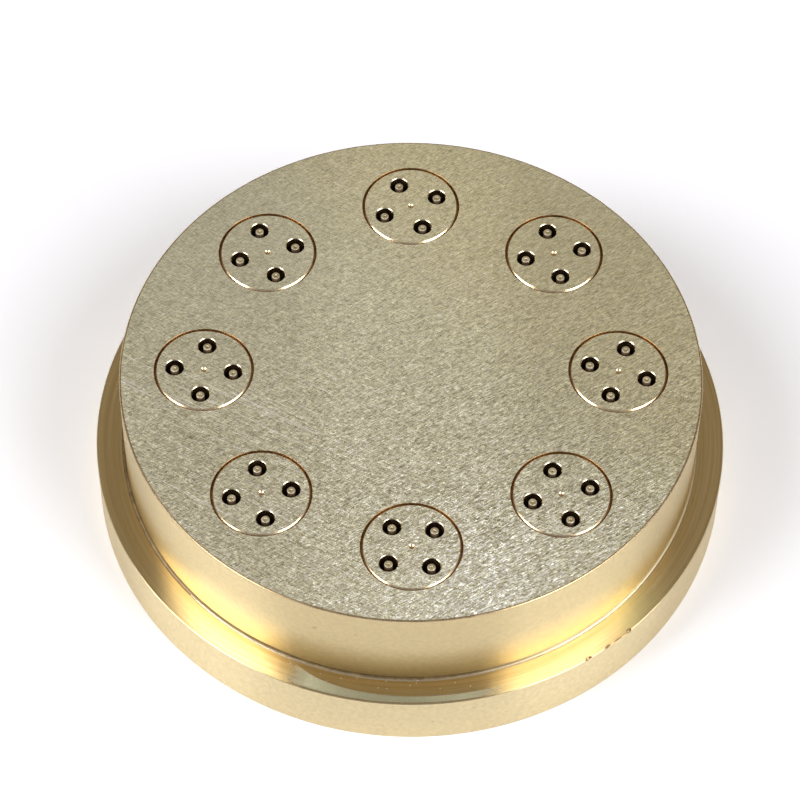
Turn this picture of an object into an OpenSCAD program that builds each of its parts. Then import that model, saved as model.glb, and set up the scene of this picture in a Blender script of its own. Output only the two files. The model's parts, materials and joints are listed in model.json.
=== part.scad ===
// Extrusion die for thin pasta tubes: a turned body that holds eight inserts.
// Each insert has four ring-shaped orifices, and a carrier behind them holds the four core pins.
// Dough enters at the back, at z = 0, and leaves through the front face on top.

/* [Body] */
// Diameter of the clamping flange
flange_d = 96; // [91:0.5:120]
// Thickness of the clamping flange
flange_t = 9.8; // [7:0.1:16]
// Diameter of the front boss
boss_d = 87.3; // [82:0.1:90]
// Height of the front boss above the ledge
boss_h = 16.2; // [12:0.1:24]
// Bevel on the front edge of the boss
boss_edge = 0.3; // [0.1:0.05:0.8]
// Bevel on both edges of the flange
flange_edge = 0.1; // [0.1:0.05:0.8]
// Radius that the lathe tool leaves in the corner under the boss
root_r = 0.5; // [0.1:0.05:0.8]
// Depth of the feed recess in the back
recess_depth = 5; // [3:0.1:6.5]
// Width of the recess floor left outside the insert collars
recess_margin = 1.6; // [0.6:0.1:2.5]
// Bevel on the mouth of the feed recess
recess_edge = 0.5; // [0.1:0.1:1.5]

/* [Inserts] */
// Pitch circle of the inserts
insert_pitch_d = 62; // [56:0.5:65]
// Diameter of an insert at the front face
insert_d = 14.9; // [14:0.1:15.4]
// Width of the shoulder under the collar
collar_step = 1.1; // [0.9:0.1:2]
// Length of the collar at the back of an insert
collar_t = 8; // [6:0.1:10]
// Bevel on the front edge of an insert
insert_edge = 0.4; // [0.1:0.05:0.6]
// Bevel on the front edge of each insert bore
bore_edge = 0.03; // [0.02:0.01:0.3]
// Bevel on the back edge of the collar
collar_edge = 0.3; // [0.1:0.05:0.6]
// Diameter of the centre mark in an insert
centre_mark_d = 0.9; // [0.5:0.1:2]
// Radial clearance between pieces that slide together
fit_gap = 0.02; // [0.01:0.005:0.05]

/* [Orifices] */
// Pitch circle of the orifices in an insert
orifice_pitch_d = 8.8; // [8.2:0.1:9.2]
// Diameter of an orifice, the outside of the pasta tube
orifice_d = 2.8; // [2.2:0.05:3.2]
// Length of the straight orifice behind the face
orifice_land = 5; // [2:0.1:6.5]
// Bevel on the mouth of an orifice
orifice_edge = 0.08; // [0.05:0.01:0.3]
// Diameter of the feed hole behind an orifice
feed_d = 3.8; // [3.4:0.1:4.2]
// Full angle of the cone from the feed hole to the orifice
feed_cone = 60; // [40:5:90]
// Depth of the chamber between the carrier and the feed holes
chamber_depth = 4; // [2:0.1:6]
// Wall of the chamber outside the feed holes
chamber_margin = 0.15; // [0.05:0.05:0.3]

/* [Pin carriers] */
// Thickness of a carrier
carrier_t = 4; // [3:0.1:5.5]
// Width of the step that a carrier sits on
carrier_step = 0.45; // [0.3:0.05:0.7]
// Diameter of the outer feed holes in a carrier
carrier_feed_d = 3.3; // [2.4:0.1:3.6]
// Diameter of the middle feed hole in a carrier
carrier_middle_d = 3; // [2:0.1:4]

/* [Core pins] */
// Diameter of a pin in its orifice, the inside of the pasta tube
pin_d = 1.25; // [0.8:0.05:1.7]
// Diameter of the thicker shank that the carrier holds
shank_d = 2; // [1.8:0.05:2.3]
// Diameter of the head at the back
pin_head_d = 2.6; // [2.4:0.05:2.9]
// Thickness of the head
pin_head_t = 1; // [0.5:0.1:2]
// Depth of the pin's end below the front face
pin_recess = 0.25; // [0.05:0.05:1]
// Bevel on the front end of a pin
pin_edge = 0.1; // [0.05:0.01:0.2]
// Diameter of the turning mark in the end of a pin
pin_mark_d = 0.45; // [0.2:0.05:0.55]

/* [Wear] */
// Direction of the nick in the flange's upper edge, in degrees
nick_angle = 303; // [290:0.5:304]
// Length of the nick along the edge
nick_length = 1; // [0.5:0.1:2]
// Depth of the nick below the bevel
nick_depth = 0.3; // [0.1:0.05:0.5]
// Direction of the middle of the dent, in degrees
dent_angle = 309.5; // [309:0.5:330]
// Length of the dent along the edge
dent_length = 5; // [3:0.1:8]
// Depth of the dent below the bevel
dent_depth = 0.15; // [0.1:0.05:0.4]
// Length of the gouge where the dent begins
gouge_length = 1.2; // [0.8:0.1:2]
// Depth of the gouge below the bevel
gouge_depth = 0.35; // [0.3:0.05:0.5]

/* [Hidden] */
$fn = 96;
small_fn = 48;
// Extra length that carries a cut past the surface it leaves
cut = 1;

body_h = flange_t + boss_h;
collar_d = insert_d + 2 * collar_step;
recess_d = insert_pitch_d + collar_d + 2 * recess_margin;
seat_z = recess_depth + collar_t;
// Width of the ledge between the boss and the flange's edge
ledge_w = (flange_d - boss_d) / 2;
// Radius in the corner under the boss, limited by the flat of the ledge
root_fillet = max(0, min(root_r, ledge_w - flange_edge));

// How far each insert was turned when it was pushed into its bore, in degrees
insert_turn = [73, 11.5, 24, 17.5, 85, 9, 40.5, 16];
insert_count = len(insert_turn);
orifice_count = 4;

carrier_top = recess_depth + carrier_t;
chamber_top = carrier_top + chamber_depth;
chamber_d = orifice_pitch_d + feed_d + 2 * chamber_margin;
carrier_bore_d = chamber_d + 2 * carrier_step;
land_z = body_h - orifice_land;
feed_cone_h = (feed_d - orifice_d) / 2 / tan(feed_cone / 2);
pin_top = body_h - pin_recess;
cone_z = land_z - feed_cone_h;
pin_cone_h = (shank_d - pin_d) / 2 / tan(feed_cone / 2);
head_top = recess_depth + pin_head_t;

// Depth of the flange bevel square to its face
bevel_depth = flange_edge / sqrt(2);
// Angle from the middle of the dent to the gouge
gouge_offset = asin((dent_length - gouge_length) / flange_d);

brass = [0.80, 0.70, 0.46];
pale_brass = [0.78, 0.71, 0.52];
dark_brass = [0.62, 0.50, 0.30];
pin_bronze = [0.72, 0.62, 0.44];

function numbered(name) = [for (i = [1 : insert_count]) str(name, "_", i)];
function pin_name(i, k) = str("core_pin_", i, "_", k);
PIN_NODES = [for (i = [1 : insert_count]) for (k = [1 : orifice_count]) pin_name(i, k)];

// Moves its children to insert number i, turned as that insert is turned
module at_insert(i) {
    rotate((i - 1) * 360 / insert_count)
        translate([insert_pitch_d / 2, 0, 0])
            rotate(insert_turn[i - 1] - (i - 1) * 360 / insert_count)
                children();
}

// Moves its children to orifice number k of an insert that stands on the axis
module at_orifice(k) {
    rotate((k - 1) * 360 / orifice_count)
        translate([orifice_pitch_d / 2, 0, 0])
            children();
}

// A straight round rod or cut between two heights
module rod(d, z_low, z_high) {
    translate([0, 0, z_low])
        cylinder(d = d, h = z_high - z_low);
}

// A right-angled cone sunk into a face at z
module cone_mark(d, z) {
    translate([0, 0, z - d / 2])
        cylinder(d1 = 0, d2 = d + 2 * cut, h = d / 2 + cut);
}

// Half section of the turned body before its bores, with the axis on x = 0
module body_section() {
    flange_r = flange_d / 2;
    boss_r = boss_d / 2;
    recess_r = recess_d / 2;
    polygon([
        [0, recess_depth],
        [recess_r, recess_depth],
        [recess_r, recess_edge],
        [recess_r + recess_edge, 0],
        [flange_r - flange_edge, 0],
        [flange_r, flange_edge],
        [flange_r, flange_t - flange_edge],
        [flange_r - flange_edge, flange_t],
        [boss_r, flange_t],
        [boss_r, body_h - boss_edge],
        [boss_r - boss_edge, body_h],
        [0, body_h]
    ]);
    if (root_fillet > 0)
        difference() {
            translate([boss_r - root_fillet, flange_t - root_fillet])
                square(2 * root_fillet);
            translate([boss_r + root_fillet, flange_t + root_fillet])
                circle(r = root_fillet);
        }
}

// The stepped bore of one insert: the collar stops on the shoulder at seat_z
module insert_bore() {
    bore_r = insert_d / 2 + fit_gap;
    collar_bore_r = collar_d / 2 + fit_gap;
    rotate_extrude()
        polygon([
            [0, recess_depth - cut],
            [collar_bore_r, recess_depth - cut],
            [collar_bore_r, seat_z],
            [bore_r, seat_z],
            [bore_r, body_h - bore_edge],
            [bore_r + bore_edge + cut, body_h + cut],
            [0, body_h + cut]
        ]);
}

// A knock on the flange's upper edge: a drum that lies across the bevel cuts an arc into it
module knock(angle, length, depth) {
    drum_r = (length * length / 4 + depth * depth) / (2 * depth);
    drum_w = 4 * (bevel_depth + depth);
    rotate(angle)
        translate([flange_d / 2, 0, flange_t])
            rotate([0, -45, 0])
                translate([drum_r - depth - bevel_depth, 0, 0])
                    cylinder(r = drum_r, h = drum_w, center = true);
}

module die_body() {
    color(brass)
        difference() {
            rotate_extrude()
                body_section();
            for (i = [1 : insert_count])
                at_insert(i)
                    insert_bore();
            knock(nick_angle, nick_length, nick_depth);
            knock(dent_angle, dent_length, dent_depth);
            knock(dent_angle - gouge_offset, gouge_length, gouge_depth);
        }
}

// Half section of an insert before its holes
module insert_section() {
    insert_r = insert_d / 2;
    collar_r = collar_d / 2;
    polygon([
        [0, recess_depth],
        [collar_r - collar_edge, recess_depth],
        [collar_r, recess_depth + collar_edge],
        [collar_r, seat_z],
        [insert_r, seat_z],
        [insert_r, body_h - insert_edge],
        [insert_r - insert_edge, body_h],
        [0, body_h]
    ]);
}

// The hollow in the back of an insert: the carrier sits on its step, with the chamber above
module insert_chamber() {
    rotate_extrude()
        polygon([
            [0, recess_depth - cut],
            [carrier_bore_d / 2, recess_depth - cut],
            [carrier_bore_d / 2, carrier_top],
            [chamber_d / 2, carrier_top],
            [chamber_d / 2, chamber_top],
            [0, chamber_top]
        ]);
}

// One orifice: feed hole, cone, straight land and bevelled mouth
module orifice() {
    rotate_extrude($fn = small_fn)
        polygon([
            [0, chamber_top - cut],
            [feed_d / 2, chamber_top - cut],
            [feed_d / 2, cone_z],
            [orifice_d / 2, land_z],
            [orifice_d / 2, body_h - orifice_edge],
            [orifice_d / 2 + orifice_edge + cut, body_h + cut],
            [0, body_h + cut]
        ]);
}

module insert() {
    color(pale_brass)
        difference() {
            rotate_extrude()
                insert_section();
            insert_chamber();
            for (k = [1 : orifice_count])
                at_orifice(k)
                    orifice();
            cone_mark(centre_mark_d, body_h);
        }
}

module pin_carrier() {
    half_step = 180 / orifice_count;
    color(dark_brass)
        difference() {
            rod(carrier_bore_d - 2 * fit_gap, recess_depth, carrier_top);
            rod(carrier_middle_d, recess_depth - cut, carrier_top + cut);
            for (k = [1 : orifice_count]) {
                at_orifice(k) {
                    rod(shank_d + 2 * fit_gap, recess_depth, carrier_top + cut);
                    rod(pin_head_d + 2 * fit_gap, recess_depth - cut, head_top);
                }
                rotate(half_step)
                    at_orifice(k)
                        rod(carrier_feed_d, recess_depth - cut, carrier_top + cut);
            }
        }
}

// Half section of a pin: head, shank, cone and the thin end that forms the bore of the pasta
module pin_section() {
    polygon([
        [0, recess_depth],
        [pin_head_d / 2, recess_depth],
        [pin_head_d / 2, head_top],
        [shank_d / 2, head_top],
        [shank_d / 2, cone_z],
        [pin_d / 2, cone_z + pin_cone_h],
        [pin_d / 2, pin_top - pin_edge],
        [pin_d / 2 - pin_edge, pin_top],
        [0, pin_top]
    ]);
}

module core_pin() {
    color(pin_bronze)
        difference() {
            rotate_extrude($fn = small_fn)
                pin_section();
            cone_mark(pin_mark_d, pin_top, $fn = small_fn);
        }
}

die_body();
for (i = [1 : insert_count]) {
    at_insert(i) insert();
    at_insert(i) pin_carrier();
    for (k = [1 : orifice_count])
        at_insert(i) at_orifice(k) core_pin();
}
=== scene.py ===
# %% [markdown]
# # A pasta die in turned brass
# The die is a thick round disc with a flange. Eight small inserts sit in it in a ring, and dough is pressed
# through the ring-shaped gaps between the holes of the inserts and the pins that stand in them. The lesson
# starts from the measured solids and rebuilds every piece by hand with finer edges and its own finish.
# Working over the solids, and not by eye, keeps each new piece at its true size and place.

# %% Load the measured solids
import json
import math

import bmesh
import bpy
from mathutils import Matrix, Vector

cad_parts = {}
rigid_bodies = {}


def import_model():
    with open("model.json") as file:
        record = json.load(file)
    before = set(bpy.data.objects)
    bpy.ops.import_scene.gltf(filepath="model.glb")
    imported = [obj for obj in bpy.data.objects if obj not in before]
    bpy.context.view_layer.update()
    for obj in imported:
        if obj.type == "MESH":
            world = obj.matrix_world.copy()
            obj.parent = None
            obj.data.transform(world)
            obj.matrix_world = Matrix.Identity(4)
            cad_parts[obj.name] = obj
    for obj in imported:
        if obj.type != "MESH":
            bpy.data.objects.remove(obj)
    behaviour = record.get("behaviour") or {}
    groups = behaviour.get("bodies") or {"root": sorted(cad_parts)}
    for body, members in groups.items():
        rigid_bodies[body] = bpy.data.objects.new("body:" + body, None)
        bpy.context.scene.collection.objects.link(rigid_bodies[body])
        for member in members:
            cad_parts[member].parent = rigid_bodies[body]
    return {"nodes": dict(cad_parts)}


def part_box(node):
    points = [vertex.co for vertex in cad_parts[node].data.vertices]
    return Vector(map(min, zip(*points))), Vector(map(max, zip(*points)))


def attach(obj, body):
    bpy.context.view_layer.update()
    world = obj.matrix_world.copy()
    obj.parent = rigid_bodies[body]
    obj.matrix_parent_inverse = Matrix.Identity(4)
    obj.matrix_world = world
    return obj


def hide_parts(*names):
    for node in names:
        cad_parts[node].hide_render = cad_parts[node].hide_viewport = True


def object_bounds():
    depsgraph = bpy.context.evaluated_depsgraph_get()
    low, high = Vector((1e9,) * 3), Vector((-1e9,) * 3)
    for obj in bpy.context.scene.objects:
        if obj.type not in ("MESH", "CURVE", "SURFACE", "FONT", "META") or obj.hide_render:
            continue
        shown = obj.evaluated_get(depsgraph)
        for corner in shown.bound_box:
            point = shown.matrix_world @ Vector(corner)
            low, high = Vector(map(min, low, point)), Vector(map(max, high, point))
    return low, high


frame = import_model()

cad_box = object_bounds()
cad_size_mm = [round(side * 1000, 2) for side in cad_box[1] - cad_box[0]]
print("solids loaded:", len(frame["nodes"]), "size in mm:", cad_size_mm)

# %% [markdown]
# ## Sizes
# What the solids already know is measured from their boxes: the flange, the height, the ring of inserts.
# Edges, steps and holes lie inside those boxes, so a maker's drawing would state them, and they are written
# here.

# %% Sizes of the body
MM = 0.001
HAIR = 0.002 * MM

body_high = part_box("die_body")[1]
flange_r = body_high.x
body_h = body_high.z
flange_t = 9.8 * MM
boss_r = 43.65 * MM
recess_r = 41.15 * MM
recess_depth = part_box("insert_1")[0].z
print("flange radius in mm:", round(flange_r / MM, 2), "height:", round(body_h / MM, 2))
print("recess in mm:", round(recess_depth / MM, 2))

# %% Sizes of the inserts
insert_names = ["insert_%d" % i for i in range(1, 9)]
pin_names = [["core_pin_%d_%d" % (i, k) for k in range(1, 5)] for i in range(1, 9)]


def middle(node):
    low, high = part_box(node)
    return (low + high) / 2


insert_r = 7.45 * MM
collar_r = (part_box("insert_1")[1].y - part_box("insert_1")[0].y) / 2
seat_z = 13 * MM
carrier_r = (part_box("pin_carrier_1")[1].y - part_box("pin_carrier_1")[0].y) / 2
carrier_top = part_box("pin_carrier_1")[1].z
orifice_pitch_r = (middle(pin_names[0][0]) - middle("insert_1")).xy.length
pin_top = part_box(pin_names[0][0])[1].z
fit_gap = 0.02 * MM
print("collar radius", round(collar_r / MM, 2), "orifices on radius", round(orifice_pitch_r / MM, 2))

# %% [markdown]
# ## Tools for modelling by hand
# A turned piece grows as it would on a lathe drawing: start with a rod, take hold of an end face, and
# extrude it from step to step along the outline. The helpers below pick the face or edge to work on by
# where it lies, which is what a click of the mouse would do.

# %% Helpers that pick and start
FLAT = 0.99
SIDE_CORNERS = 4


def clear_selection():
    if bpy.context.object and bpy.context.object.mode != "OBJECT":
        bpy.ops.object.mode_set(mode="OBJECT")
    bpy.ops.object.select_all(action="DESELECT")


def open_piece(piece):
    clear_selection()
    bpy.context.view_layer.objects.active = piece
    piece.select_set(True)
    bpy.ops.object.mode_set(mode="EDIT")
    bpy.ops.mesh.select_all(action="DESELECT")


def start_rod(name, radius, low, high, sides):
    clear_selection()
    bpy.ops.mesh.primitive_cylinder_add(
        vertices=sides, radius=radius, depth=high - low, location=(0, 0, (low + high) / 2))
    bpy.ops.object.transform_apply(location=True, rotation=False, scale=False)
    rod = bpy.context.object
    rod.name = rod.data.name = name
    open_piece(rod)
    return rod


def pick_end(height):
    """Pick the round end face at a height: it is level and has more corners than a side face."""
    shape = bmesh.from_edit_mesh(bpy.context.object.data)
    bpy.context.tool_settings.mesh_select_mode = (False, False, True)
    for face in shape.faces:
        level = abs(face.normal.z) > FLAT and abs(face.calc_center_median().z - height) < HAIR
        face.select_set(level and len(face.verts) > SIDE_CORNERS)
    bmesh.update_edit_mesh(bpy.context.object.data)


def pick_ring(radius, height):
    """Pick the edges of one circle round the axis."""
    shape = bmesh.from_edit_mesh(bpy.context.object.data)
    bpy.context.tool_settings.mesh_select_mode = (False, True, False)
    for edge in shape.edges:
        edge.select_set(all(
            abs(v.co.xy.length - radius) < HAIR and abs(v.co.z - height) < HAIR for v in edge.verts))
    bmesh.update_edit_mesh(bpy.context.object.data)


# %% Helpers that shape
def follow_outline(radius, height, outline):
    """Extrude the picked end face from step to step. Each step is a radius and a height."""
    for next_radius, next_height in outline:
        bpy.ops.mesh.extrude_region_move(TRANSFORM_OT_translate={"value": (0, 0, next_height - height)})
        grow = next_radius / radius
        bpy.ops.transform.resize(value=(grow, grow, 1), center_override=(0, 0, next_height))
        radius, height = next_radius, next_height


def break_edge(radius, height, width, segments=1):
    """Bevel one round edge. One segment is a flat bevel, more make it round."""
    pick_ring(radius, height)
    bpy.ops.mesh.bevel(offset=width, offset_type="OFFSET", segments=segments, affect="EDGES")


def sink_point(depth):
    """Draw the picked end face down to a point, as a drill or punch leaves it."""
    bpy.ops.mesh.extrude_region_move(TRANSFORM_OT_translate={"value": (0, 0, -depth)})
    bpy.ops.mesh.merge(type="CENTER")


# %% Helpers that copy and cut
def turned_to(spot, turn):
    return Matrix.Translation((spot[0], spot[1], 0)) @ Matrix.Rotation(turn, 4, "Z")


def copy_to(master, name, place):
    twin = master.copy()
    twin.data = master.data.copy()
    twin.data.transform(place)
    twin.name = twin.data.name = name
    bpy.context.scene.collection.objects.link(twin)
    return twin


def gang(master, places):
    """Copies of one cutter at several places, joined so that one cut makes all the holes."""
    clear_selection()
    cutters = [copy_to(master, master.name + "_ganged", place) for place in places]
    for cutter in cutters:
        cutter.select_set(True)
    bpy.context.view_layer.objects.active = cutters[0]
    bpy.ops.object.join()
    bpy.data.objects.remove(master)
    return cutters[0]


def cut_away(piece, cutter):
    clear_selection()
    bpy.context.view_layer.objects.active = piece
    piece.select_set(True)
    cut = piece.modifiers.new("cut", "BOOLEAN")
    cut.operation = "DIFFERENCE"
    cut.solver = "EXACT"
    cut.object = cutter
    bpy.ops.object.modifier_apply(modifier=cut.name)
    bpy.data.objects.remove(cutter)


SOFT_ANGLE = math.radians(24)
LEVEL = 0.9999


def smooth(piece):
    """Shade round faces softly and keep level faces flat, so that no cut beside them bends their shine."""
    open_piece(piece)
    bpy.ops.mesh.select_all(action="SELECT")
    bpy.ops.mesh.normals_make_consistent(inside=False)
    bpy.ops.object.mode_set(mode="OBJECT")
    bpy.ops.object.shade_smooth_by_angle(angle=SOFT_ANGLE)
    open_piece(piece)
    shape = bmesh.from_edit_mesh(piece.data)
    bpy.context.tool_settings.mesh_select_mode = (False, False, True)
    for face in shape.faces:
        face.select_set(abs(face.normal.z) > LEVEL)
    bpy.ops.mesh.faces_shade_flat()
    clear_selection()


# %% [markdown]
# ## The turned body
# On the lathe the body is one bar of brass: the flange is left at full width, the boss is turned down above
# it and the feed recess is bored into the back. Here the same order is followed with extrusions, and the
# edges are then broken with small bevels, because real edges are never knife sharp and it is the bevel that
# catches the light.

# %% Turn the flange, the boss and the feed recess
BODY_SIDES = 256
ROOT_SEGMENTS = 4
EDGE_SEGMENTS = 3
flange_edge = 0.1 * MM
boss_edge = 0.3 * MM
root_r = 0.5 * MM
recess_edge = 0.5 * MM

body = start_rod("brass_body", flange_r, 0, flange_t, BODY_SIDES)
pick_end(flange_t)
follow_outline(flange_r, flange_t, [(boss_r, flange_t), (boss_r, body_h)])
pick_end(0)
follow_outline(flange_r, 0, [(recess_r, 0), (recess_r, recess_depth)])
break_edge(flange_r, flange_t, flange_edge)
break_edge(flange_r, 0, flange_edge)
break_edge(boss_r, body_h, boss_edge, EDGE_SEGMENTS)
break_edge(boss_r, flange_t, root_r, ROOT_SEGMENTS)
break_edge(recess_r, 0, recess_edge)
clear_selection()
print("body turned with", len(body.data.polygons), "faces before its bores")

# %% [markdown]
# ## The stepped bores
# Each insert is pushed in from the back until its collar stops on a shoulder. One cutter is shaped like
# that bore, wide below and narrow above, with a small flare at the front. It is copied to the eight places
# and cut in one go.

# %% Bore the eight seats
BORE_SIDES = 128
bore_edge = 0.03 * MM
over = 1 * MM

bore = start_rod("bore_cutter", collar_r + fit_gap, recess_depth - over, seat_z, BORE_SIDES)
pick_end(seat_z)
follow_outline(collar_r + fit_gap, seat_z, [
    (insert_r + fit_gap, seat_z),
    (insert_r + fit_gap, body_h - bore_edge),
    (insert_r + fit_gap + bore_edge, body_h),
    (insert_r + fit_gap + bore_edge, body_h + over)])
clear_selection()
insert_spots = [middle(name) for name in insert_names]
cut_away(body, gang(bore, [turned_to(spot, 0) for spot in insert_spots]))
print("bores cut, body has", len(body.data.polygons), "faces")

# %% [markdown]
# ## Knocks on the flange
# The upper edge of the flange has met other metal: a nick, a long dent with a gouge at its end, and a small
# spot. A knock has the shape of what struck it, so a small ball is stretched along the edge, roughened a
# little and cut away.

# %% Knock the edge
knocks = [
    # name, angle in degrees, length, depth
    ("nick", 303.1, 1.2 * MM, 0.36 * MM),
    ("dent", 309.6, 5.4 * MM, 0.2 * MM),
    ("gouge", 307.4, 1.1 * MM, 0.28 * MM),
    ("spot", 312.3, 1.0 * MM, 0.4 * MM)]
knock_roughness = 0.2
bevel_depth = flange_edge / math.sqrt(2)
edge_point = Matrix.Translation((flange_r, 0, flange_t))
for number, (name, angle, length, depth) in enumerate(knocks):
    clear_selection()
    bpy.ops.mesh.primitive_ico_sphere_add(subdivisions=3, radius=1)
    ball = bpy.context.object
    ball.name = "knock_" + name
    open_piece(ball)
    bpy.ops.mesh.select_all(action="SELECT")
    bpy.ops.transform.vertex_random(offset=knock_roughness, seed=number)
    clear_selection()
    reach = depth + bevel_depth
    ball.data.transform(Matrix.Diagonal((reach, length / 2, reach, 1)))
    ball.data.transform(Matrix.Rotation(math.radians(angle), 4, "Z") @ edge_point)
    cut_away(body, ball)
    print("knock", name, "at", angle, "degrees, mm long:", round(length / MM, 2))

# %% [markdown]
# ## One insert
# An insert is a small turned plug with a collar. Its back is hollow: the pin carrier sits in the wide step
# and the dough gathers in the chamber above it. Four orifices lead from the chamber to the front. The plug
# is turned as the body was. The orifices are off the axis, so they are cut with a stepped drill of their
# own form: feed hole, cone, straight land and a bevelled mouth.

# %% Turn the plug
INSERT_SIDES = 128
insert_edge = 0.4 * MM
collar_edge = 0.3 * MM
chamber_r = 6.45 * MM
chamber_top = seat_z

plug = start_rod("insert_master", collar_r, recess_depth, seat_z, INSERT_SIDES)
pick_end(seat_z)
follow_outline(collar_r, seat_z, [(insert_r, seat_z), (insert_r, body_h)])
pick_end(recess_depth)
follow_outline(collar_r, recess_depth, [
    (carrier_r + fit_gap, recess_depth),
    (carrier_r + fit_gap, carrier_top),
    (chamber_r, carrier_top),
    (chamber_r, chamber_top)])
break_edge(insert_r, body_h, insert_edge)
break_edge(collar_r, recess_depth, collar_edge)
clear_selection()
print("plug turned with", len(plug.data.polygons), "faces")

# %% Drill the four orifices
ORIFICE_SIDES = 48
feed_r = 1.9 * MM
orifice_r = 1.37 * MM
orifice_edge = 0.11 * MM
orifice_land = 5 * MM
half_cone = math.radians(30)
land_z = body_h - orifice_land
cone_slope = math.tan(half_cone)
cone_z = land_z - (feed_r - orifice_r) / cone_slope
quarter_turns = [k * math.pi / 2 for k in range(4)]
orifice_spots = [Vector((math.cos(a), math.sin(a))) * orifice_pitch_r for a in quarter_turns]

drill = start_rod("orifice_cutter", feed_r, chamber_top - over, cone_z, ORIFICE_SIDES)
pick_end(cone_z)
follow_outline(feed_r, cone_z, [
    (orifice_r, land_z),
    (orifice_r, body_h - orifice_edge),
    (orifice_r + orifice_edge, body_h),
    (orifice_r + orifice_edge, body_h + over)])
clear_selection()
cut_away(plug, gang(drill, [turned_to(spot, 0) for spot in orifice_spots]))
print("orifices drilled, insert has", len(plug.data.polygons), "faces")

# %% Punch the centre mark
mark_r = 0.45 * MM

clear_selection()
bpy.ops.mesh.primitive_cone_add(
    vertices=ORIFICE_SIDES, radius1=0, radius2=mark_r + over, depth=mark_r + over,
    location=(0, 0, body_h + (over - mark_r) / 2))
punch = bpy.context.object
bpy.ops.object.transform_apply(location=True, rotation=False, scale=False)
cut_away(plug, punch)
print("centre mark punched, mm deep:", round(mark_r / MM, 2))

# %% [markdown]
# ## One core pin
# The pin forms the hole in the pasta. It hangs from a head in the carrier, passes through the chamber as a
# stout shank and is turned thin where it stands in the orifice. Its end is a little below the face and has
# the dimple of the lathe's centre.

# %% Turn the pin
PIN_SIDES = 40
PIN_EDGE_SEGMENTS = 2
head_r = 1.3 * MM
head_t = 1 * MM
head_top = recess_depth + head_t
shank_r = 1 * MM
pin_r = 0.625 * MM
pin_edge = 0.1 * MM
dimple_r = 0.225 * MM

pin = start_rod("core_pin_master", head_r, recess_depth, head_top, PIN_SIDES)
pick_end(head_top)
follow_outline(head_r, head_top, [
    (shank_r, head_top),
    (shank_r, cone_z),
    (pin_r, cone_z + (shank_r - pin_r) / cone_slope),
    (pin_r, pin_top),
    (dimple_r, pin_top)])
sink_point(dimple_r)
break_edge(pin_r, pin_top, pin_edge, PIN_EDGE_SEGMENTS)
clear_selection()
print("pin turned with", len(pin.data.polygons), "faces")

# %% [markdown]
# ## One pin carrier
# The carrier is a flat disc that holds the four pins by their heads. Between them, and in the middle, it
# has feed holes that let the dough past. The seats of the pins are stepped and the feed holes straight, so
# each kind has a cutter of its own.

# %% Drill the carrier
carrier_feed_r = 1.65 * MM
carrier_middle_r = 1.5 * MM
carrier_edge = 0.12 * MM

carrier = start_rod("pin_carrier_master", carrier_r, recess_depth, carrier_top, INSERT_SIDES)
break_edge(carrier_r, recess_depth, carrier_edge)
clear_selection()

seat = start_rod("pin_seat_cutter", head_r + fit_gap, recess_depth - over, head_top, PIN_SIDES)
pick_end(head_top)
follow_outline(head_r + fit_gap, head_top, [
    (shank_r + fit_gap, head_top),
    (shank_r + fit_gap, carrier_top + over)])
clear_selection()
cut_away(carrier, gang(seat, [turned_to(spot, 0) for spot in orifice_spots]))

feed = start_rod("feed_cutter", carrier_feed_r, recess_depth - over, carrier_top + over, ORIFICE_SIDES)
clear_selection()
eighth_turn = Matrix.Rotation(math.pi / 4, 4, "Z")
cut_away(carrier, gang(feed, [eighth_turn @ turned_to(spot, 0) for spot in orifice_spots]))
hub = start_rod("hub_cutter", carrier_middle_r, recess_depth - over, carrier_top + over, ORIFICE_SIDES)
clear_selection()
cut_away(carrier, hub)
print("carrier drilled, it has", len(carrier.data.polygons), "faces")

# %% [markdown]
# ## Tools for finishes
# A finish is a node tree: some texture drives the colour, the roughness and the fine relief of one brass
# surface. Texture is read from Object coordinates. Every piece sits at the origin, so scratches run on from
# the body across an insert, just as they do on a face that was ground after the inserts went in. Small
# helpers stand for the nodes that come back again and again, so that a finish reads like a recipe.

# %% Helpers for node trees
def put(tree, kind, inputs=None, **settings):
    """Add one node, set its options, and link or set its inputs."""
    node = tree.nodes.new("ShaderNode" + kind)
    for option, value in settings.items():
        setattr(node, option, value)
    for name, value in (inputs or {}).items():
        if isinstance(value, bpy.types.NodeSocket):
            tree.links.new(value, node.inputs[name])
        else:
            node.inputs[name].default_value = value
    return node


def open_finish(finish):
    """The node tree of a finish, its shader, and the place of a point on the piece."""
    tree = finish.node_tree
    return tree, tree.nodes["Principled BSDF"], put(tree, "TexCoord").outputs["Object"]


def new_finish(name):
    finish = bpy.data.materials.new(name)
    finish.use_nodes = True
    tree, shader, place = open_finish(finish)
    shader.inputs["Metallic"].default_value = 1.0
    return finish, tree, shader, place


# %% Helpers for sums in a tree
def plus(tree, first, second):
    return put(tree, "Math", {0: first, 1: second}, operation="ADD").outputs[0]


def times(tree, first, second):
    return put(tree, "Math", {0: first, 1: second}, operation="MULTIPLY").outputs[0]


def times_plus(tree, first, second, added):
    return put(tree, "Math", {0: first, 1: second, 2: added}, operation="MULTIPLY_ADD").outputs[0]


def summed(tree, first, second):
    return put(tree, "VectorMath", {0: first, 1: second}, operation="ADD").outputs["Vector"]


def scaled(tree, vector, amount):
    return put(tree, "VectorMath", {0: vector, "Scale": amount}, operation="SCALE").outputs["Vector"]


def unit(tree, vector):
    return put(tree, "VectorMath", {0: vector}, operation="NORMALIZE").outputs["Vector"]


def length_of(tree, vector):
    return put(tree, "VectorMath", {0: vector}, operation="LENGTH").outputs["Value"]


def split(tree, vector):
    return put(tree, "SeparateXYZ", {"Vector": vector}).outputs


# %% Helpers for clouds and masks
NOISE_LOW = 0.3
NOISE_HIGH = 0.7


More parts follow.
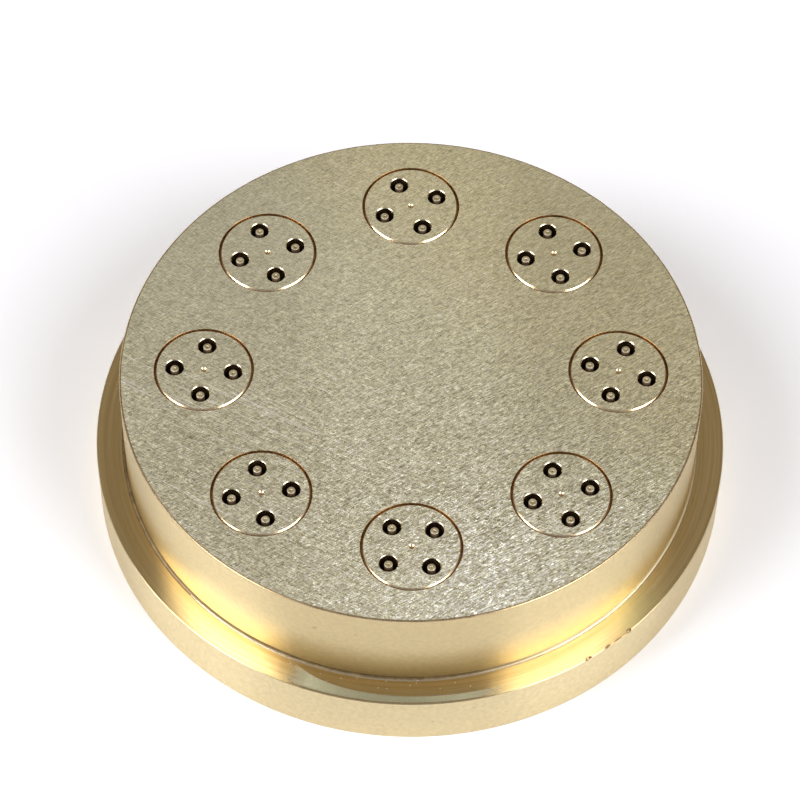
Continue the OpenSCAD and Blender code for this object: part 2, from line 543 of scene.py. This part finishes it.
def cloud(tree, place, size, detail):
    return put(tree, "TexNoise", {"Vector": place, "Scale": 1 / size, "Detail": detail}).outputs["Fac"]


def blend_colours(tree, factor, low, high, low_colour, high_colour):
    ramp = put(tree, "ValToRGB", {"Fac": factor})
    first, last = ramp.color_ramp.elements
    first.position = low
    first.color = (*low_colour, 1)
    last.position = high
    last.color = (*high_colour, 1)
    return ramp.outputs["Color"]


def spread_value(tree, noise, low, high):
    """Stretch the values that most of a noise has between two others."""
    band = put(tree, "MapRange", {
        "Value": noise, "From Min": NOISE_LOW, "From Max": NOISE_HIGH, "To Min": low, "To Max": high})
    return band.outputs["Result"]


def between(tree, value, low, high, low_result=0.0, high_result=1.0):
    """Turn a stretch of values into another one, softly, and hold the ends."""
    band = put(tree, "MapRange", {
        "Value": value, "From Min": low, "From Max": high, "To Min": low_result, "To Max": high_result},
        interpolation_type="SMOOTHSTEP")
    return band.outputs["Result"]


def from_one(tree, mask, full):
    """One where the mask is black, and the given value where it is white."""
    return between(tree, mask, 0.0, 1.0, 1.0, full)


# %% Helpers that lay one finish over another
def lay_colour(tree, shader, mask, colour, blend="MIX"):
    """Blend a colour over the one that the shader has, where the mask is white."""
    below = shader.inputs["Base Color"].links[0].from_socket
    mix = put(tree, "Mix", {0: mask, 6: below, 7: (*colour, 1)}, data_type="RGBA", blend_type=blend)
    tree.links.new(mix.outputs[2], shader.inputs["Base Color"])


def lay_roughness(tree, shader, mask, roughness):
    below = shader.inputs["Roughness"].links[0].from_socket
    mix = put(tree, "Mix", {0: mask, 2: below, 3: roughness}, data_type="FLOAT")
    tree.links.new(mix.outputs[0], shader.inputs["Roughness"])


# %% [markdown]
# ## The ground front face
# The front was ground flat on abrasive paper in every direction, so it is covered with short straight
# strokes. Each stroke is a stretched cell of a Voronoi texture with one random tilt and tone. Layers of
# cells are turned different ways and added up, as one stroke is ground over another. Tilting the normal
# makes them glint, and a near white colour laid on a few strokes is a painted glint. A hand doesn't press
# evenly, so masks along the axes of the face say where the strokes are deep. The same masks set how strong
# the stroke tone and the painted glints are, and they paint light and shade into the colour: brighter in
# front and along the front rim, darker at the sides.

# %% Helpers that lay strokes
MIDDLE_LOT = (0.5, 0.5, 0.5)


def stroke_cells(tree, place, direction, length, width):
    """One layer of strokes: a random colour for each stretched cell."""
    laid = put(tree, "Mapping", {
        "Vector": place, "Rotation": (0, 0, math.radians(direction)), "Scale": (length, width, length)},
        vector_type="TEXTURE")
    cells = put(tree, "TexVoronoi", {"Vector": laid.outputs["Vector"], "Scale": 1}, voronoi_dimensions="2D")
    return cells.outputs["Color"]


def add_strokes(tree, place, sideways, strokes):
    """Add up layers of strokes. A layer that leans to one side of the face is stronger there."""
    total = (0, 0, 0)
    for direction, length, width, strength, leaning in strokes:
        lot = stroke_cells(tree, place, direction, length, width)
        centred = put(tree, "VectorMath", {0: lot, 1: MIDDLE_LOT}, operation="SUBTRACT").outputs["Vector"]
        weight = times_plus(tree, sideways, leaning, strength)
        total = summed(tree, total, scaled(tree, centred, weight))
    return total


def few_strokes(tree, place, stroke, lots, strength):
    """The few strokes of one layer that drew the highest lots."""
    lot = put(tree, "SeparateColor", {"Color": stroke_cells(tree, place, *stroke)}).outputs["Red"]
    return between(tree, lot, *lots, 0.0, strength)


# %% Helper that says how hard the strokes are pressed and how strongly they glint, partly painted light
face_reach = 30 * MM
back_pressure_and_glint = 0.45
side_pressure_and_glint = 0.75
front_right_pressure_and_glint = 1.35


def pressure_and_glint(tree, axes, edgeward, front_right):
    """Weaker at the back and at the sides, and hardest at the front right. It deepens the strokes, and it
    also scales their tone and the painted glints: painted light, strongest where the lights make the face
    glint.
    """
    towards_front = between(tree, axes["Y"], face_reach, -face_reach, back_pressure_and_glint, 1.0)
    evenly = times(tree, towards_front, from_one(tree, edgeward, side_pressure_and_glint))
    return times(tree, evenly, from_one(tree, front_right, front_right_pressure_and_glint))


# %% Helper that paints light and shade across the face
back_light_share = 0.935
front_light_share = 1.07
side_light_share = 0.87
front_right_light_share = 1.1
rim_light_share = 1.16
rim_stretch = (-22 * MM, -42 * MM)
rim_right_stretch = (-25 * MM, 10 * MM)
rim_left_strength = 0.2


def painted_light(tree, axes, edgeward, front_right):
    """Painted light: the colour is made brighter in front, most of all along the front rim, and darker at
    the sides.
    """
    back_to_front = between(tree, axes["Y"], face_reach, -face_reach, back_light_share, front_light_share)
    front_rim = between(tree, axes["Y"], *rim_stretch)
    rightwards = between(tree, axes["X"], *rim_right_stretch, rim_left_strength, 1.0)
    rim_lit = from_one(tree, times(tree, front_rim, rightwards), rim_light_share)
    brighter = times(tree, rim_lit, from_one(tree, front_right, front_right_light_share))
    return times(tree, times(tree, back_to_front, from_one(tree, edgeward, side_light_share)), brighter)


# %% Helpers that paint glints and scratches
GLINT = (32, 0.66 * MM, 0.085 * MM)
LONG_SCRATCH = (-30, 12 * MM, 0.11 * MM)
glint_lots = (0.88, 0.92)
glint_strength = 0.8
scratch_lots = (0.945, 0.955)
scratch_strength = 0.9
scratched_left = (-0.1, -0.8)
scratched_front = (8 * MM, -4 * MM)
painted_glint_tone = (1.0, 0.99, 0.93)
stroke_tilt = 0.4


# Painted glints: a near white colour laid on the few strokes that drew the highest lots.
def add_glints(tree, shader, place, pressed_and_glinting):
    glints = few_strokes(tree, place, GLINT, glint_lots, glint_strength)
    lay_colour(tree, shader, times(tree, glints, pressed_and_glinting), painted_glint_tone)


def add_scratches(tree, shader, place, axes, sideways):
    """Long scratches on the left of the front half, laid in the painted glint colour: real scratches with a
    painted highlight.
    """
    on_left = between(tree, sideways, *scratched_left)
    left_front = times(tree, on_left, between(tree, axes["Y"], *scratched_front))
    scratches = few_strokes(tree, place, LONG_SCRATCH, scratch_lots, scratch_strength)
    lay_colour(tree, shader, times(tree, scratches, left_front), painted_glint_tone)


def tilt_strokes(tree, shader, strokes, pressed_and_glinting):
    """Lean the normal of each stroke sideways by its lot."""
    level = put(tree, "VectorMath", {0: strokes, 1: (1, 1, 0)}, operation="MULTIPLY").outputs["Vector"]
    leaning = scaled(tree, level, times(tree, pressed_and_glinting, stroke_tilt))
    facing = put(tree, "NewGeometry").outputs["Normal"]
    tree.links.new(unit(tree, summed(tree, facing, leaning)), shader.inputs["Normal"])


# %% Finish: ground brass
STROKES = [
    # direction in degrees, length, width, strength, how much it leans to the right of the face
    (30, 0.66 * MM, 0.085 * MM, 0.85, 0.2),
    (-27, 0.6 * MM, 0.085 * MM, 0.7, -0.2),
    (68, 0.42 * MM, 0.085 * MM, 0.5, 0.0)]
stroke_tone = 0.9
patch_size = 14 * MM
patch_stretch = (0.35, 0.7)
patch_tones = ((0.78, 0.755, 0.57), (0.82, 0.795, 0.61))
front_stretch = (-5 * MM, -35 * MM)
right_stretch = (-4 * MM, 14 * MM)
warm_stretch = (0.0, 40 * MM)
warm_tint = (1.0, 0.965, 0.865)
back_roughness = 0.59
front_roughness = 0.5


def ground_brass():
    finish, tree, shader, place = new_finish("ground_brass")
    axes = split(tree, place)
    sideways = between(tree, axes["X"], -face_reach, face_reach, -1.0, 1.0)
    edgeward = times(tree, sideways, sideways)
    in_front = between(tree, axes["Y"], *front_stretch)
    front_right = times(tree, in_front, between(tree, axes["X"], *right_stretch))
    pressed_and_glinting = pressure_and_glint(tree, axes, edgeward, front_right)
    strokes = add_strokes(tree, place, sideways, STROKES)
    patches = cloud(tree, place, patch_size, 3.0)
    tone = blend_colours(tree, patches, *patch_stretch, *patch_tones)
    lot = times(tree, split(tree, strokes)["Z"], stroke_tone)
    shade = times_plus(tree, lot, pressed_and_glinting, painted_light(tree, axes, edgeward, front_right))
    tree.links.new(scaled(tree, tone, shade), shader.inputs["Base Color"])
    back_right = between(tree, plus(tree, axes["X"], axes["Y"]), *warm_stretch)
    lay_colour(tree, shader, back_right, warm_tint, "MULTIPLY")
    dullness = between(tree, axes["Y"], face_reach, -face_reach, back_roughness, front_roughness)
    tree.links.new(dullness, shader.inputs["Roughness"])
    add_glints(tree, shader, place, pressed_and_glinting)
    add_scratches(tree, shader, place, axes, sideways)
    tilt_strokes(tree, shader, strokes, pressed_and_glinting)
    return finish


ground = ground_brass()
print("finish made:", ground.name, "with", len(ground.node_tree.nodes), "nodes")

# %% [markdown]
# ## The turned sides
# A lathe tool leaves fine rings. They blur a reflection across the rings and keep it sharp along them,
# which is why a turned side shows upright bright bands. The shader's anisotropy does that, with its
# direction taken round the axis. The sides have been handled until only a fine mottle is left, so their
# pattern is a plain cloud.

# %% Finishes: turned wall and rim
QUARTER_TURN = 0.25
mottle_size = 0.7 * MM
wall_relief = 0.0002 * MM
rim_relief = 0.0003 * MM


def mottle(tree, place):
    return cloud(tree, place, mottle_size, 4.0)


def turned_brass(name, low_tone, high_tone, roughness, pattern, depth):
    finish, tree, shader, place = new_finish(name)
    texture = pattern(tree, place)
    tone = blend_colours(tree, texture, NOISE_LOW, NOISE_HIGH, low_tone, high_tone)
    relief = put(tree, "Bump", {"Strength": 1.0, "Distance": depth, "Height": texture})
    round_axis = put(tree, "Tangent", direction_type="RADIAL", axis="Z")
    tree.links.new(tone, shader.inputs["Base Color"])
    tree.links.new(spread_value(tree, texture, *roughness), shader.inputs["Roughness"])
    tree.links.new(relief.outputs["Normal"], shader.inputs["Normal"])
    tree.links.new(round_axis.outputs["Tangent"], shader.inputs["Tangent"])
    shader.inputs["Anisotropic"].default_value = 1.0
    shader.inputs["Anisotropic Rotation"].default_value = QUARTER_TURN
    return finish


turned = turned_brass(
    "turned_brass", (0.61, 0.49, 0.268), (0.69, 0.556, 0.308), (0.278, 0.295), mottle, wall_relief)
rim_brass = turned_brass(
    "rim_brass", (0.635, 0.52, 0.296), (0.75, 0.62, 0.364), (0.28, 0.3), mottle, rim_relief)
print("finishes made:", turned.name, rim_brass.name)

# %% [markdown]
# ## Painted shade, scuffs and specks
# Low on the wall, next to the corner above the ledge, the colour is darker and browner: painted shade. The
# same mask lays a dull layer over the turned finish, and it fades with the height. Higher up
# the wall has two small scuffs: a Mapping node stretches and slants the space round each one, where a scuff
# is simply what lies near the middle. The rim has dark specks, one to a cell of a Voronoi texture, and only
# the cells with a high lot keep theirs.

# %% Lay the painted shade, the dull foot and the scuffs on the wall
foot_shade_top = flange_t + 9 * MM
foot_shade_bottom = flange_t + 1 * MM
painted_foot_shade = (0.87, 0.76, 0.54)
foot_roughness = 0.42
SCUFFS = [
    # angle round the axis in degrees, height, length, width, slant in degrees, strength
    (-108.7, 20.4 * MM, 1.3 * MM, 0.45 * MM, 40, 0.5),
    (-100.6, 20.9 * MM, 1.1 * MM, 0.35 * MM, 110, 0.2)]
scuff_fade = (1.2, 0.5)
scuff_tone = (0.3, 0.25, 0.14)


def scuff(tree, place, angle, height, length, width, slant):
    """A soft spot on the wall that slants upwards to the right."""
    around = math.radians(angle)
    spot = (boss_r * math.cos(around), boss_r * math.sin(around), height)
    laid = put(tree, "Mapping", {
        "Vector": place, "Location": spot, "Rotation": (0, -math.radians(slant), around + math.pi / 2),
        "Scale": (length / 2, length / 2, width / 2)}, vector_type="TEXTURE")
    return between(tree, length_of(tree, laid.outputs["Vector"]), *scuff_fade)


wall_tree, wall_shader, wall_place = open_finish(turned)
# Painted shade: the wall is tinted darker and browner towards its foot, next to the corner above the ledge.
# The same mask makes the foot duller.
dull_shaded_foot = between(wall_tree, split(wall_tree, wall_place)["Z"], foot_shade_top, foot_shade_bottom)
lay_colour(wall_tree, wall_shader, dull_shaded_foot, painted_foot_shade, "MULTIPLY")
lay_roughness(wall_tree, wall_shader, dull_shaded_foot, foot_roughness)
for *form, strength in SCUFFS:
    mark = scuff(wall_tree, wall_place, *form)
    lay_colour(wall_tree, wall_shader, times(wall_tree, mark, strength), scuff_tone)
print("film laid from height", round(foot_shade_top / MM, 2), "down, scuffs:", len(SCUFFS))

# %% Lay specks on the rim
speck_spacing = 3.5 * MM
speck_size = 0.2 * MM
speck_blur = 0.3
speck_rarity = 0.45
speck_strength = 0.55
speck_tone = (0.3, 0.24, 0.13)


def specks(tree, place, spacing, size, rarity, dimensions):
    """Small round spots, one to a cell, kept only where the cell's lot is above the rarity."""
    cells = put(tree, "TexVoronoi", {"Vector": place, "Scale": 1 / spacing}, voronoi_dimensions=dimensions)
    edge = size / spacing
    near = between(tree, cells.outputs["Distance"], (1 + speck_blur) * edge, (1 - speck_blur) * edge)
    lot = put(tree, "SeparateColor", {"Color": cells.outputs["Color"]}).outputs["Red"]
    return times(tree, near, put(tree, "Math", {0: lot, 1: rarity}, operation="GREATER_THAN").outputs[0])


rim_tree, rim_shader, rim_place = open_finish(rim_brass)
rim_specks = specks(rim_tree, rim_place, speck_spacing, speck_size, speck_rarity, "3D")
lay_colour(rim_tree, rim_shader, times(rim_tree, rim_specks, speck_strength), speck_tone)
print("specks laid on the rim, mm apart:", round(speck_spacing / MM, 2))

# %% [markdown]
# ## The ledge
# On the ledge the rings of the lathe show as lines: noise that is stretched round the axis and packed tight
# across it. It shines more than the sides, so it mirrors the wall above it. In front, the lip of a ring nut
# has rubbed its outer part dull: that patch starts at the wall on the left and runs out to a steady width.
# A brighter tone further right is a painted highlight, and a few grains of dust lie on the rubbed patch. All
# of them are laid over the turned finish with masks that are worked out from the angle and the radius.

# %% Finish: ledge brass
ring_pitch = 0.36 * MM
streaks_round = 1.6
ring_relief = 0.006 * MM


def outward(tree, axes):
    """The part of a place that points away from the axis."""
    return put(tree, "CombineXYZ", {"X": axes["X"], "Y": axes["Y"]}).outputs[0]


def lathe_rings(tree, place):
    """Noise that runs round the axis: long round it, fine along it and outwards."""
    axes = split(tree, place)
    away = outward(tree, axes)
    around = scaled(tree, unit(tree, away), streaks_round)
    travel = plus(tree, length_of(tree, away), axes["Z"])
    fine = put(tree, "CombineXYZ", {"Z": times(tree, travel, 1 / ring_pitch)}).outputs[0]
    return cloud(tree, summed(tree, around, fine), 1, 3.0)


ledge_brass = turned_brass(
    "ledge_brass", (0.79, 0.68, 0.46), (0.99, 0.89, 0.68), (0.12, 0.16), lathe_rings, ring_relief)
print("finish made:", ledge_brass.name)

# %% Helpers that mask the ledge by angle
def angle_round(tree, axes):
    return put(tree, "Math", {0: axes["Y"], 1: axes["X"]}, operation="ARCTAN2").outputs[0]


def along_arc(tree, angle, start, rise, end, fall):
    """White from one angle to another, with soft ends."""
    begun = between(tree, angle, start, start + rise)
    ended = between(tree, angle, end, end - fall)
    return times(tree, begun, ended)


# %% Mask of the rubbed patch
rub_start = math.radians(-114)
rub_rise = math.radians(6)
rub_end = math.radians(-70)
rub_fall = math.radians(12)
rub_inset = 3.05 * MM
rub_rim = 0.32 * MM
rub_blur = 0.15 * MM
rub_grain = 0.2 * MM
rub_grain_stretch = (0.4, 0.56)
rub_grain_low = 0.5


def rubbed_patch(tree, place):
    axes = split(tree, place)
    radius = length_of(tree, outward(tree, axes))
    angle = angle_round(tree, axes)
    past = put(tree, "MapRange", {
        "Value": angle, "From Min": rub_start, "From Max": rub_start + rub_rise, "To Max": -1.0},
        clamp=False).outputs["Result"]
    left_over = put(tree, "Math", {0: past}, operation="EXPONENT").outputs[0]
    inner = times_plus(tree, left_over, -rub_inset, boss_r + rub_inset)
    beyond = put(tree, "Math", {0: radius, 1: inner}, operation="SUBTRACT").outputs[0]
    within = between(tree, radius, flange_r - rub_rim + rub_blur, flange_r - rub_rim - rub_blur)
    band = times(tree, between(tree, beyond, -rub_blur, rub_blur), within)
    grain = between(tree, cloud(tree, place, rub_grain, 1.0), *rub_grain_stretch, rub_grain_low, 1.0)
    arc = along_arc(tree, angle, rub_start, rub_rise, rub_end, rub_fall)
    return times(tree, times(tree, band, grain), arc)


# %% Masks of the painted highlight further right and of the dust
second_start = math.radians(-52)
second_rise = math.radians(6)
second_end = math.radians(-34)
second_fall = math.radians(8)
second_strength = 0.55
dust_start = math.radians(-126)
dust_rise = math.radians(12)
dust_spacing = 1.1 * MM
dust_size = 0.075 * MM
dust_rarity = 0.72


def right_painted_highlight(tree, place):
    """A painted highlight further right, as wide as the ledge: a brighter tone, a little rougher."""
    angle = angle_round(tree, split(tree, place))
    arc = along_arc(tree, angle, second_start, second_rise, second_end, second_fall)
    return times(tree, arc, second_strength)


def dust(tree, place):
    angle = angle_round(tree, split(tree, place))
    grains = specks(tree, place, dust_spacing, dust_size, dust_rarity, "2D")
    return times(tree, grains, along_arc(tree, angle, dust_start, dust_rise, rub_end, rub_fall))


# %% Lay the rubbed patch, the painted highlight and the dust on the ledge
LEDGE_LAYERS = [
    # mask, colour, roughness
    # painted highlight: a brighter tone laid over the ledge further right
    (right_painted_highlight, (0.99, 1.0, 0.62), 0.22),
    (rubbed_patch, (0.96, 0.99, 0.74), 0.72),
    (dust, (0.85, 0.82, 0.74), 0.9)]

ledge_tree, ledge_shader, ledge_place = open_finish(ledge_brass)
for masked, colour, roughness in LEDGE_LAYERS:
    mask = masked(ledge_tree, ledge_place)
    lay_colour(ledge_tree, ledge_shader, mask, colour)
    lay_roughness(ledge_tree, ledge_shader, mask, roughness)
print("ledge has", len(LEDGE_LAYERS), "layers and", len(ledge_tree.nodes), "nodes")

# %% [markdown]
# ## Cut edges, drilled holes and pins
# The bevel of an insert was cut last with a sharp tool, so it is bright and smooth. The mouths of the
# orifices and the edge of the boss are darker, because hands and dough wear on them, and the knocks and
# bores are brown. The root of the boss is dark, and on the right a lighter tone is painted on it as a
# painted highlight. Inside the holes the brass is nearly black. The pins are bronze, worn brown on their
# sides, with a dark dimple in the end that is painted shade. All of them get a soft cloud of stains, so no
# surface is one flat tone.

# %% Finishes: cut, drilled, pin and carrier
stain_size = 0.8 * MM
stain_stretch = (0.35, 0.65)
stain_strength = 0.6
stain_relief = 0.004 * MM
fine_relief = 0.001 * MM
no_relief = 0.0


def stained_brass(name, low_tone, high_tone, low_rough, high_rough, depth):
    finish, tree, shader, place = new_finish(name)
    stains = cloud(tree, place, stain_size, 3.0)
    tone = blend_colours(tree, stains, *stain_stretch, low_tone, high_tone)
    relief = put(tree, "Bump", {"Strength": stain_strength, "Distance": depth, "Height": stains})
    tree.links.new(tone, shader.inputs["Base Color"])
    tree.links.new(spread_value(tree, stains, low_rough, high_rough), shader.inputs["Roughness"])
    tree.links.new(relief.outputs["Normal"], shader.inputs["Normal"])
    print("finish made:", finish.name)
    return finish


cut_brass = stained_brass("cut_brass", (0.80, 0.61, 0.37), (0.86, 0.69, 0.44), 0.2, 0.24, fine_relief)
mouth_brass = stained_brass("mouth_brass", (0.62, 0.53, 0.37), (0.7, 0.61, 0.43), 0.25, 0.29, no_relief)
# The dark tone of the dimple is painted shade in its small hollow.
shaded_dimple = stained_brass("shaded_dimple", (0.36, 0.29, 0.18), (0.44, 0.36, 0.23), 0.42, 0.5, no_relief)
edge_brass = stained_brass("edge_brass", (0.52, 0.385, 0.215), (0.58, 0.44, 0.25), 0.26, 0.3, no_relief)
root_brass = stained_brass("root_brass", (0.18, 0.13, 0.07), (0.26, 0.19, 0.1), 0.4, 0.5, no_relief)
bore_brass = stained_brass("bore_brass", (0.28, 0.18, 0.085), (0.38, 0.26, 0.13), 0.3, 0.4, stain_relief)
drilled = stained_brass("drilled_brass", (0.11, 0.07, 0.035), (0.18, 0.12, 0.06), 0.4, 0.55, stain_relief)
bronze = stained_brass("pin_bronze", (0.66, 0.59, 0.41), (0.82, 0.76, 0.56), 0.42, 0.55, stain_relief)
pin_side = stained_brass("pin_side_bronze", (0.60, 0.41, 0.25), (0.76, 0.56, 0.36), 0.5, 0.65, stain_relief)
carrier_brass = stained_brass(
    "carrier_brass", (0.62, 0.50, 0.28), (0.74, 0.61, 0.36), 0.3, 0.42, stain_relief)

# %% Paint a highlight on the root on the right
root_highlight_stretch = (5 * MM, 25 * MM)
root_highlight_tone = (0.6, 0.5, 0.31)

root_tree, root_shader, root_place = open_finish(root_brass)
# Painted highlight: a lighter tone on the right part of the root stands for the pale line of light along it.
highlighted = between(root_tree, split(root_tree, root_place)["X"], *root_highlight_stretch)
lay_colour(root_tree, root_shader, highlighted, root_highlight_tone)
print("root wiped from x in mm:", [round(x / MM, 2) for x in root_highlight_stretch])

# %% [markdown]
# ## Put the finishes on
# A piece takes several finishes. Each face is sorted by where it lies and which way it looks, as a polisher
# would sort them: what lies level at the front was ground, the outside was turned, and what is inside was
# drilled.

# %% Sort the faces of each piece
LOOKS_UP = 0.1
NEARLY_LEVEL = 0.9
# left of this x the whole root of the boss is dark
dark_root_x = -33 * MM
bevel_reach = 1.5 * insert_edge


def dress(piece, finishes, choose):
    piece.data.materials.clear()
    for finish in finishes:
        piece.data.materials.append(finish)
    for face in piece.data.polygons:
        face.material_index = finishes.index(choose(face.center, face.normal))


def body_finish(spot, facing):
    if facing.z > LEVEL and spot.z > body_h - HAIR:
        return ground
    if facing.z > LEVEL and abs(spot.z - flange_t) < HAIR:
        return ledge_brass
    if min((spot.xy - seat.xy).length for seat in insert_spots) < insert_r + 2 * bore_edge:
        return bore_brass
    from_axis = spot.xy.length
    if from_axis > flange_r - flange_edge:
        return rim_brass
    if from_axis > boss_r + root_r and facing.z > LOOKS_UP:
        return bore_brass
    if from_axis > boss_r and facing.z > LOOKS_UP:
        return ledge_brass if facing.z > NEARLY_LEVEL and spot.x > dark_root_x else root_brass
    return edge_brass if from_axis > boss_r - boss_edge and facing.z > LOOKS_UP else turned


def insert_finish(spot, facing):
    if facing.z > LEVEL and spot.z > body_h - HAIR:
        return ground
    near_orifice = min((spot.xy - hole).length for hole in orifice_spots)
    if spot.z > body_h - bevel_reach and facing.z > LOOKS_UP:
        return mouth_brass if near_orifice < feed_r else cut_brass
    return drilled if near_orifice < feed_r + HAIR and spot.z > chamber_top + HAIR else turned


def pin_finish(spot, facing):
    if spot.z > pin_top - 2 * pin_edge and facing.z > LOOKS_UP:
        return bronze if spot.xy.length > dimple_r else shaded_dimple
    return pin_side


dress(body, [ground, turned, rim_brass, ledge_brass, edge_brass, root_brass, bore_brass], body_finish)
dress(plug, [ground, turned, cut_brass, mouth_brass, drilled], insert_finish)
dress(pin, [bronze, shaded_dimple, pin_side], pin_finish)
dress(carrier, [carrier_brass], lambda spot, facing: carrier_brass)
print("faces ground on the body:", sum(face.material_index == 0 for face in body.data.polygons))

# %% [markdown]
# ## Set the pieces in their places
# The masters stand on the axis. Each copy gets a mesh of its own, moved to the middle of the solid it
# stands for and turned as that solid is turned: the first pin of an insert tells which way the insert
# points.

# %% Copy and place
def settle(piece, node):
    smooth(piece)
    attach(piece, "root")
    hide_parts(node)


settle(body, "die_body")
for i, spot in enumerate(insert_spots):
    towards_pin = middle(pin_names[i][0]) - spot
    place = turned_to(spot, math.atan2(towards_pin.y, towards_pin.x))
    number = i + 1
    settle(copy_to(plug, "brass_insert_%d" % number, place), "insert_%d" % number)
    settle(copy_to(carrier, "brass_carrier_%d" % number, place), "pin_carrier_%d" % number)
    for k, node in enumerate(pin_names[i]):
        name = "bronze_pin_%d_%d" % (number, k + 1)
        settle(copy_to(pin, name, turned_to(middle(node), 0)), node)
for master in (plug, carrier, pin):
    bpy.data.objects.remove(master)

# %% [markdown]
# ## The floor
# The die stands on a plain white sheet. The sheet is part of the stage and not of the object.

# %% Lay the floor
floor_size = 4.0
paper_grain_scale = 30.0
paper_roughness = 0.9

clear_selection()
bpy.ops.mesh.primitive_plane_add(size=floor_size)
floor = bpy.context.object
floor.name = floor.data.name = "white_sheet"
paper = bpy.data.materials.new("white_paper")
paper.use_nodes = True
paper_tree, paper_shader, paper_place = open_finish(paper)
paper_grain = put(paper_tree, "TexNoise", {"Vector": paper_place, "Scale": paper_grain_scale}).outputs["Fac"]
paper_tone = blend_colours(
    paper_tree, paper_grain, NOISE_LOW, NOISE_HIGH, (0.87, 0.88, 0.925), (0.89, 0.90, 0.945))
paper_tree.links.new(paper_tone, paper_shader.inputs["Base Color"])
paper_shader.inputs["Roughness"].default_value = paper_roughness
floor.data.materials.append(paper)
print("floor laid, m wide:", floor_size)

# %% [markdown]
# ## Light
# Two tall softboxes stand upright left and right of the camera, with a dark gap between them. Brass shows
# them as the bright bands on the ledge and on the wall. A weak card beside the right one fades its band
# out, and a dim room fills the rest, so that what mirrors neither softbox stays brown.

# %% Set the lights
SOFTBOXES = [
    # name, azimuth, width, height of the lower edge and of the upper edge in degrees, radiance
    ("left_softbox", 201, 42, 24, 61, 8.0),
    ("right_softbox", 326, 46, 24, 61, 6.4),
    ("right_card", 358, 22, 24, 58, 0.9)]
light_distance = 0.7


def softbox(name, azimuth, width_angle, low_angle, high_angle, radiance):
    """An upright light that fills the given angles, as seen from the die."""
    width = 2 * light_distance * math.tan(math.radians(width_angle / 2))
    low = light_distance * math.tan(math.radians(low_angle))
    high = light_distance * math.tan(math.radians(high_angle))
    lamp = bpy.data.lights.new(name, "AREA")
    lamp.shape = "RECTANGLE"
    lamp.size = width
    lamp.size_y = high - low
    lamp.energy = radiance * math.pi * width * (high - low)
    box = bpy.data.objects.new(name, lamp)
    outwards = Vector((math.cos(math.radians(azimuth)), math.sin(math.radians(azimuth)), 0))
    box.location = outwards * light_distance + Vector((0, 0, (low + high) / 2))
    box.rotation_mode = "QUATERNION"
    box.rotation_quaternion = outwards.to_track_quat("Z", "Y")
    bpy.context.scene.collection.objects.link(box)
    print("light", name, "m wide:", round(width, 2), "m high:", round(high - low, 2))


for light in SOFTBOXES:
    softbox(*light)

# %% Fill the room
front_light = (0.27, 0.265, 0.28)
back_light = (0.25, 0.195, 0.115)
fully_behind = 0.5

room = bpy.data.worlds.new("room")
bpy.context.scene.world = room
room.use_nodes = True
room_tree = room.node_tree
looking = put(room_tree, "TexCoord").outputs["Generated"]
backwards = put(room_tree, "SeparateXYZ", {"Vector": looking}).outputs["Y"]
room_light = blend_colours(room_tree, backwards, 0.0, fully_behind, front_light, back_light)
room_tree.links.new(room_light, room_tree.nodes["Background"].inputs["Color"])
print("room light in front", front_light, "and behind", back_light)

# %% [markdown]
# ## Camera
# The camera looks down at the die from the front with a long lens, so the circles stay close to true
# ellipses.

# %% Set the camera
camera_spot = Vector((-4.99, -296.92, 451.55)) * MM
camera_aim = Vector((-1.67, -5.36, 26.0)) * MM
camera_roll = math.radians(0.771)
camera_lens = 156.15
camera_near = 0.01
camera_far = 10

eye = bpy.data.cameras.new("camera")
eye.lens = camera_lens
eye.clip_start = camera_near
eye.clip_end = camera_far
camera = bpy.data.objects.new("camera", eye)
camera.location = camera_spot
camera.rotation_mode = "QUATERNION"
level = (camera_aim - camera_spot).to_track_quat("-Z", "Y").to_matrix()
camera.rotation_quaternion = (level @ Matrix.Rotation(camera_roll, 3, "Z")).to_quaternion()
bpy.context.scene.collection.objects.link(camera)
bpy.context.scene.camera = camera
bpy.context.scene.view_settings.view_transform = "Standard"
print("camera", round((camera_aim - camera_spot).length / MM), "mm from its aim")
